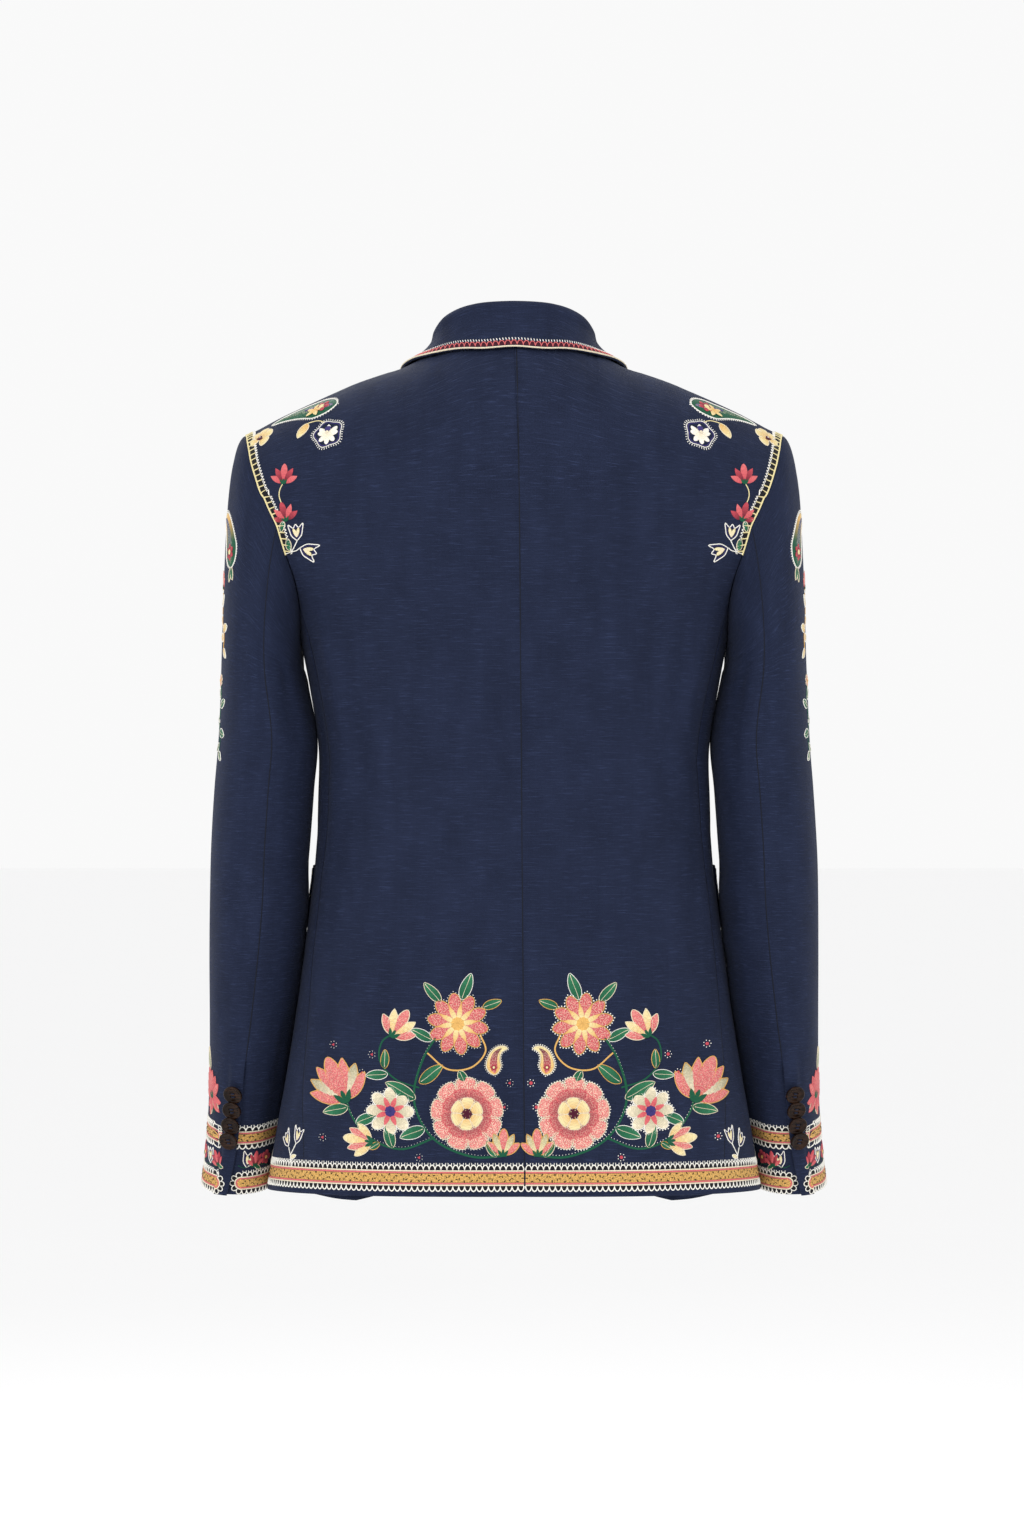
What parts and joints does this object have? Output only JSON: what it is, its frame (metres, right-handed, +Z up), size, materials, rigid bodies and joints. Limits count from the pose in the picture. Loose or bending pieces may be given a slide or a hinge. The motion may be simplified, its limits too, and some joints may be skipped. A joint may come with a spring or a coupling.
{
  "type": "suit jacket",
  "caption": "Hip-length tailored jacket in navy linen, hollow and standing as worn, with folded collar and lapels, flap pockets, sleeves with button vents and embroidered edges.",
  "frame": {"origin": "centre of the neck opening, at the height of the neck ends of the shoulder seams, where the jacket hangs from its wearer", "axes": "+Z up along the wearer's back, -Y towards the front closure, +X towards the wearer's left sleeve"},
  "size_m": [0.494, 0.2484, 0.705],
  "materials": {
    "linen": "slubbed plain-weave linen, matt",
    "horn": "polished dark horn"
  },
  "bodies": {
    "root": {"back_left": "linen", "side_left": "linen", "front_left": "linen", "lapel_left": "linen", "pocket_flap_left": "linen", "top_sleeve_left": "linen", "under_sleeve_left": "linen", "cuff_button_left_1": "horn", "cuff_button_left_2": "horn", "cuff_button_left_3": "horn", "cuff_button_left_4": "horn", "back_right": "linen", "side_right": "linen", "front_right": "linen", "lapel_right": "linen", "pocket_flap_right": "linen", "top_sleeve_right": "linen", "under_sleeve_right": "linen", "cuff_button_right_1": "horn", "cuff_button_right_2": "horn", "cuff_button_right_3": "horn", "cuff_button_right_4": "horn", "collar": "linen", "front_button_1": "horn", "front_button_2": "horn"}
  },
  "joints": []
}
